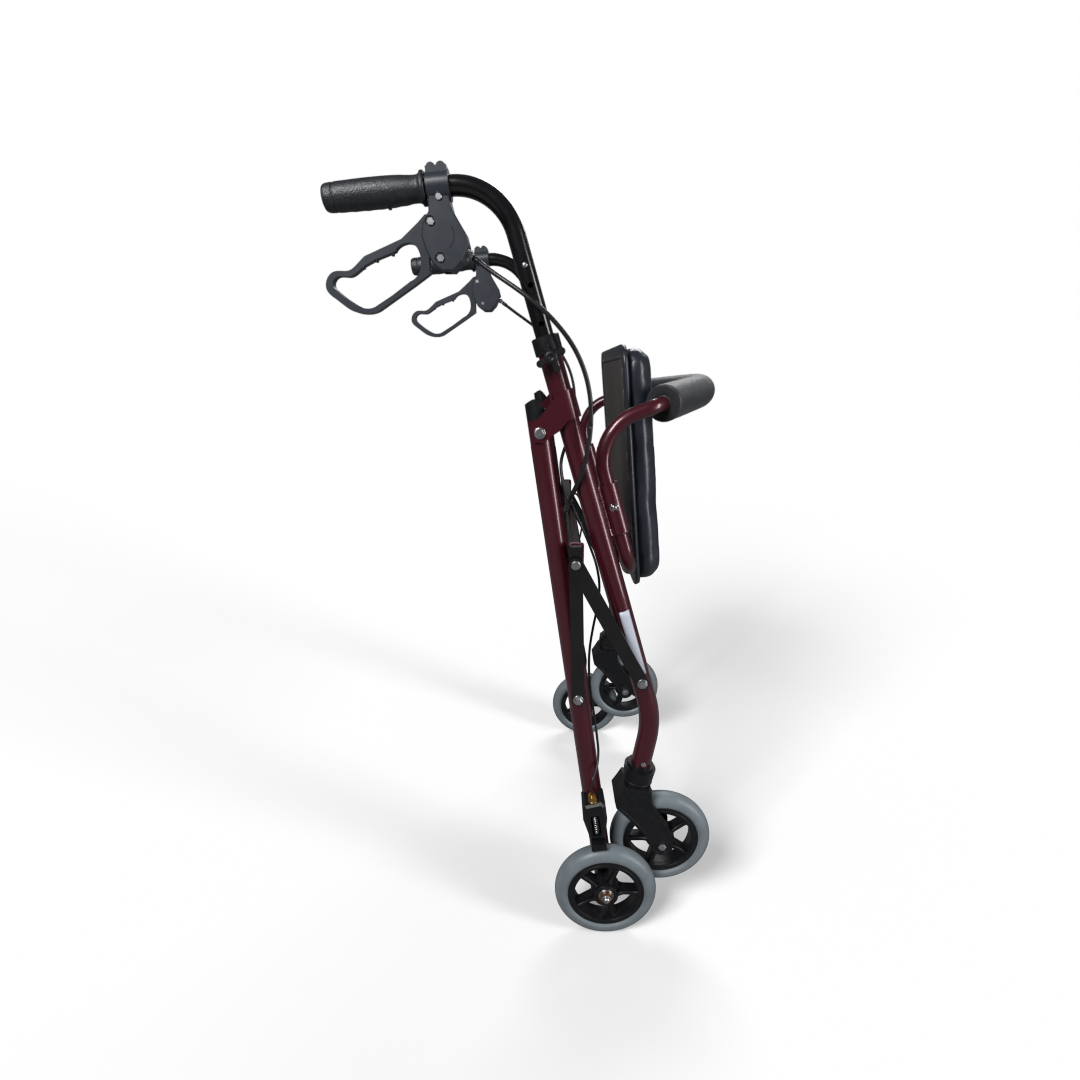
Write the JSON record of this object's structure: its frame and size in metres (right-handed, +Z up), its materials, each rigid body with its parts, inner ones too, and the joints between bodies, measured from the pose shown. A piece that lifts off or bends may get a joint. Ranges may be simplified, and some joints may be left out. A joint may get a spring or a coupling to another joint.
{
  "type": "rollator_walker",
  "caption": "Folding wheeled walking frame with padded flip-up seat, foam backrest hoop, height-adjustable grips and loop brakes, shown folded and standing.",
  "frame": {"origin": "centre of the bounding box's bottom, on the floor the rear wheels stand on", "axes": "+X is the walking direction (the casters and backrest are toward +X, the grips point to -X), +Y the walker's left, +Z up; the walker is folded and stands on its rear wheels, as stored"},
  "size_m": [0.5186, 0.5694, 1.0416],
  "materials": {
    "frame_paint": "gloss metallic burgundy",
    "post_paint": "gloss black",
    "black_plastic": "matte black moulding",
    "lever_plastic": "satin black moulding",
    "grip_rubber": "leather-grained soft grip",
    "tyre_grey": "smooth blue-grey",
    "vinyl": "blue-black grained vinyl",
    "seat_board": "grey-brown moulded board",
    "foam": "dark foam sleeve",
    "zinc": "zinc plated",
    "chrome": "polished",
    "brass": "brushed",
    "cable_black": "satin black sheath"
  },
  "bodies": {
    "front_frame": {"front_tube_right": "frame_paint", "front_tube_left": "frame_paint", "pivot_brackets": "frame_paint", "hoop_sockets": "frame_paint", "seat_cross_tube": "frame_paint", "post_collars": "black_plastic", "stem_housings": "black_plastic", "frame_bolts": "zinc", "backrest_hoop": "frame_paint", "backrest_foam": "foam", "backrest_buttons": "chrome"},
    "rear_frame": {"rear_leg_right": "frame_paint", "rear_leg_left": "frame_paint", "rear_cross_tube": "frame_paint", "saddle_caps": "black_plastic", "brake_housings": "black_plastic", "brake_adjusters": "brass", "rear_bolts": "zinc", "cable_lower_right": "cable_black", "cable_lower_left": "cable_black"},
    "front_links": {"front_links": "post_paint", "link_joint_bolts": "zinc"},
    "rear_links": {"rear_links": "post_paint", "link_crossbar": "post_paint", "cable_tie": "black_plastic"},
    "seat": {"seat_board": "seat_board", "seat_pad": "vinyl", "seat_hinges": "black_plastic"},
    "handle_right": {"handle_tube_right": "post_paint", "hand_grip_right": "grip_rubber", "lever_bracket_right": "lever_plastic", "handle_fittings_right": "zinc", "cable_upper_right": "cable_black"},
    "lever_right": {"brake_lever_right": "lever_plastic"},
    "knob_right": {"height_knob_right": "black_plastic"},
    "fork_right": {"caster_fork_right": "black_plastic", "caster_hardware_right": "zinc"},
    "front_wheel_right": {"front_hub_right": "black_plastic", "front_tyre_right": "tyre_grey"},
    "rear_wheel_right": {"rear_hub_right": "black_plastic", "rear_tyre_right": "tyre_grey"},
    "shoe_right": {"brake_shoe_right": "black_plastic", "brake_spring_right": "zinc"},
    "handle_left": {"handle_tube_left": "post_paint", "hand_grip_left": "grip_rubber", "lever_bracket_left": "lever_plastic", "handle_fittings_left": "zinc", "cable_upper_left": "cable_black"},
    "lever_left": {"brake_lever_left": "lever_plastic"},
    "knob_left": {"height_knob_left": "black_plastic"},
    "fork_left": {"caster_fork_left": "black_plastic", "caster_hardware_left": "zinc"},
    "front_wheel_left": {"front_hub_left": "black_plastic", "front_tyre_left": "tyre_grey"},
    "rear_wheel_left": {"rear_hub_left": "black_plastic", "rear_tyre_left": "tyre_grey"},
    "shoe_left": {"brake_shoe_left": "black_plastic", "brake_spring_left": "zinc"}
  },
  "joints": [
    {"name": "fold", "type": "hinge", "parent": "front_frame", "child": "rear_frame", "pos_m": [-0.00835, 0, 0.74555], "axis": [0, 1, 0], "range_deg": [0, 50], "deforming": ["cable_upper_right", "cable_lower_right", "cable_upper_left", "cable_lower_left"]},
    {"name": "front_link_turn", "type": "hinge", "parent": "front_frame", "child": "front_links", "pos_m": [0.13003, 0, 0.41385], "axis": [0, 1, 0], "range_deg": [-46, 1]},
    {"name": "rear_link_turn", "type": "hinge", "parent": "rear_frame", "child": "rear_links", "pos_m": [0.04433, 0, 0.38579], "axis": [0, 1, 0], "range_deg": [-1, 45]},
    {"name": "seat_flip", "type": "hinge", "parent": "front_frame", "child": "seat", "pos_m": [0.11514, 0, 0.55605], "axis": [0, 1, 0], "range_deg": [-77, 1]},
    {"name": "handle_height_right", "type": "slide", "parent": "front_frame", "child": "handle_right", "axis": [-0.2857, 0, 0.9583], "range_m": [-0.066, 0.044]},
    {"name": "lever_right", "type": "hinge", "parent": "handle_right", "child": "lever_right", "pos_m": [-0.13165, -0.222, 0.98095], "axis": [0, 1, 0], "range_deg": [-12, 18], "stiffness_Nm_per_rad": 1.2},
    {"name": "knob_turn_right", "type": "hinge", "parent": "front_frame", "child": "knob_right", "pos_m": [0.00478, -0.24, 0.83401], "axis": [0, 1, 0], "continuous": true},
    {"name": "caster_swivel_right", "type": "hinge", "parent": "front_frame", "child": "fork_right", "pos_m": [0.13875, -0.222, 0.26205], "axis": [0.165, 0, 0.9863], "range_deg": [-8, 60]},
    {"name": "front_wheel_right", "type": "hinge", "parent": "fork_right", "child": "front_wheel_right", "pos_m": [0.17329, -0.222, 0.14008], "axis": [0, 1, 0], "continuous": true},
    {"name": "rear_wheel_right", "type": "hinge", "parent": "rear_frame", "child": "rear_wheel_right", "pos_m": [0.08983, -0.258, 0.075], "axis": [0, 1, 0], "continuous": true},
    {"name": "brake_shoe_right", "type": "slide", "parent": "rear_frame", "child": "shoe_right", "axis": [0.1449, 0, -0.9895], "range_m": [-0.0018, 0.0024], "deforming": ["brake_spring_right"]},
    {"name": "handle_height_left", "type": "slide", "parent": "front_frame", "child": "handle_left", "axis": [-0.2857, 0, 0.9583], "range_m": [-0.066, 0.044]},
    {"name": "lever_left", "type": "hinge", "parent": "handle_left", "child": "lever_left", "pos_m": [-0.13165, 0.222, 0.98095], "axis": [0, 1, 0], "range_deg": [-12, 18], "stiffness_Nm_per_rad": 1.2},
    {"name": "knob_turn_left", "type": "hinge", "parent": "front_frame", "child": "knob_left", "pos_m": [0.00478, 0.24, 0.83401], "axis": [0, 1, 0], "continuous": true},
    {"name": "caster_swivel_left", "type": "hinge", "parent": "front_frame", "child": "fork_left", "pos_m": [0.13875, 0.222, 0.26205], "axis": [0.165, 0, 0.9863], "range_deg": [-60, 8]},
    {"name": "front_wheel_left", "type": "hinge", "parent": "fork_left", "child": "front_wheel_left", "pos_m": [0.17329, 0.222, 0.14008], "axis": [0, 1, 0], "continuous": true},
    {"name": "rear_wheel_left", "type": "hinge", "parent": "rear_frame", "child": "rear_wheel_left", "pos_m": [0.08983, 0.258, 0.075], "axis": [0, 1, 0], "continuous": true},
    {"name": "brake_shoe_left", "type": "slide", "parent": "rear_frame", "child": "shoe_left", "axis": [0.1449, 0, -0.9895], "range_m": [-0.0018, 0.0024], "deforming": ["brake_spring_left"]}
  ],
  "couplings": [
    {"joint": "front_link_turn", "follows": "fold", "ratio": -0.9013},
    {"joint": "rear_link_turn", "follows": "fold", "ratio": 0.8792},
    {"joint": "seat_flip", "follows": "fold", "ratio": -1.518},
    {"joint": "brake_shoe_right", "follows": "lever_right", "m_per_rad": 0.0065},
    {"joint": "brake_shoe_left", "follows": "lever_left", "m_per_rad": 0.0065}
  ]
}
